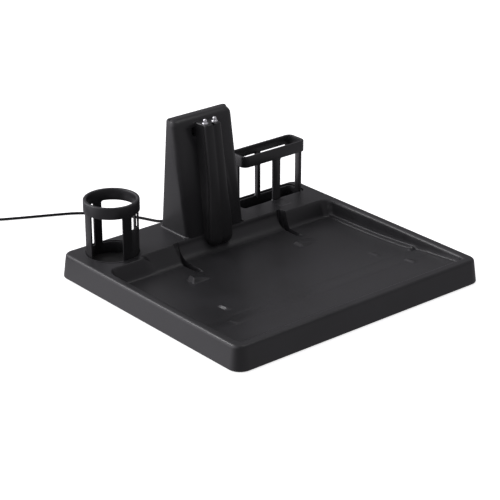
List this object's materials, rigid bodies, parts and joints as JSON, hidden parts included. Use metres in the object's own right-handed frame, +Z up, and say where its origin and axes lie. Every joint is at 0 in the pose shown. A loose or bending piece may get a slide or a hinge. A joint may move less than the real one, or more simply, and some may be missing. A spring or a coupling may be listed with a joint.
{
  "type": "cordless stick cleaner charging dock",
  "caption": "Low floor tray with a raised charging tower, sprung contacts, a round and a long lift-out tool holder, and a coiled adaptor lead.",
  "frame": {"origin": "on the floor at the middle of the base's box, cord left out", "axes": "+Z up, +Y towards the tower and the back, so the open front faces -Y and the long holder is at +X"},
  "size_m": [0.376, 0.4441, 0.1402],
  "materials": {
    "dock_plastic": "black moulded plastic with a fine spark-eroded grain and soft sheen",
    "satin_plastic": "satin black moulded plastic",
    "rubber": "soft black rubber",
    "cord_jacket": "smooth black PVC jacket",
    "chrome": "polished nickel plate",
    "steel": "zinc-plated",
    "circuit_board": "green solder mask",
    "connector_plastic": "natural nylon",
    "brass": "plain brass"
  },
  "bodies": {
    "dock": {"base_tray": "dock_plastic", "base_bottom_plate": "satin_plastic", "base_screws": "steel", "foot_front_left": "rubber", "foot_front_right": "rubber", "foot_rear_left": "rubber", "foot_rear_right": "rubber", "tower_shell": "dock_plastic", "tower_back_cover": "dock_plastic", "tower_cover_screws": "steel", "tower_mount_screws": "steel", "tower_foot_trim": "satin_plastic", "charging_spine": "satin_plastic", "spine_screws": "steel", "contact_block": "satin_plastic", "contact_bush_left": "chrome", "contact_bush_right": "chrome", "contact_spring_left": "steel", "contact_spring_right": "steel", "contact_board": "circuit_board", "board_header": "connector_plastic", "lead_connector": "connector_plastic", "inner_lead": "cord_jacket", "cord_gland": "rubber", "cord_clamp": "satin_plastic", "cord_clamp_screws": "steel", "power_cord": "cord_jacket", "cord_coil": "cord_jacket", "cord_tie": "cord_jacket", "cord_tail": "cord_jacket", "adaptor_relief": "rubber", "adaptor_body": "satin_plastic", "adaptor_cover": "satin_plastic", "adaptor_prong_left": "brass", "adaptor_prong_right": "brass"},
    "round_holder": {"round_holder": "dock_plastic"},
    "slot_holder": {"slot_holder": "dock_plastic"},
    "contact_left": {"contact_pin_left": "chrome"},
    "contact_right": {"contact_pin_right": "chrome"}
  },
  "joints": [
    {"name": "round_holder_lift", "type": "slide", "parent": "dock", "child": "round_holder", "axis": [0, 0, 1], "range_m": [0, 0.075]},
    {"name": "slot_holder_lift", "type": "slide", "parent": "dock", "child": "slot_holder", "axis": [0, 0, 1], "range_m": [0, 0.075]},
    {"name": "contact_left_press", "type": "slide", "parent": "dock", "child": "contact_left", "axis": [0, 0, -1], "range_m": [0, 0.002], "stiffness_N_per_m": 450, "springref_m": -0.001, "deforming": ["contact_spring_left"]},
    {"name": "contact_right_press", "type": "slide", "parent": "dock", "child": "contact_right", "axis": [0, 0, -1], "range_m": [0, 0.002], "stiffness_N_per_m": 450, "springref_m": -0.001, "deforming": ["contact_spring_right"]}
  ]
}
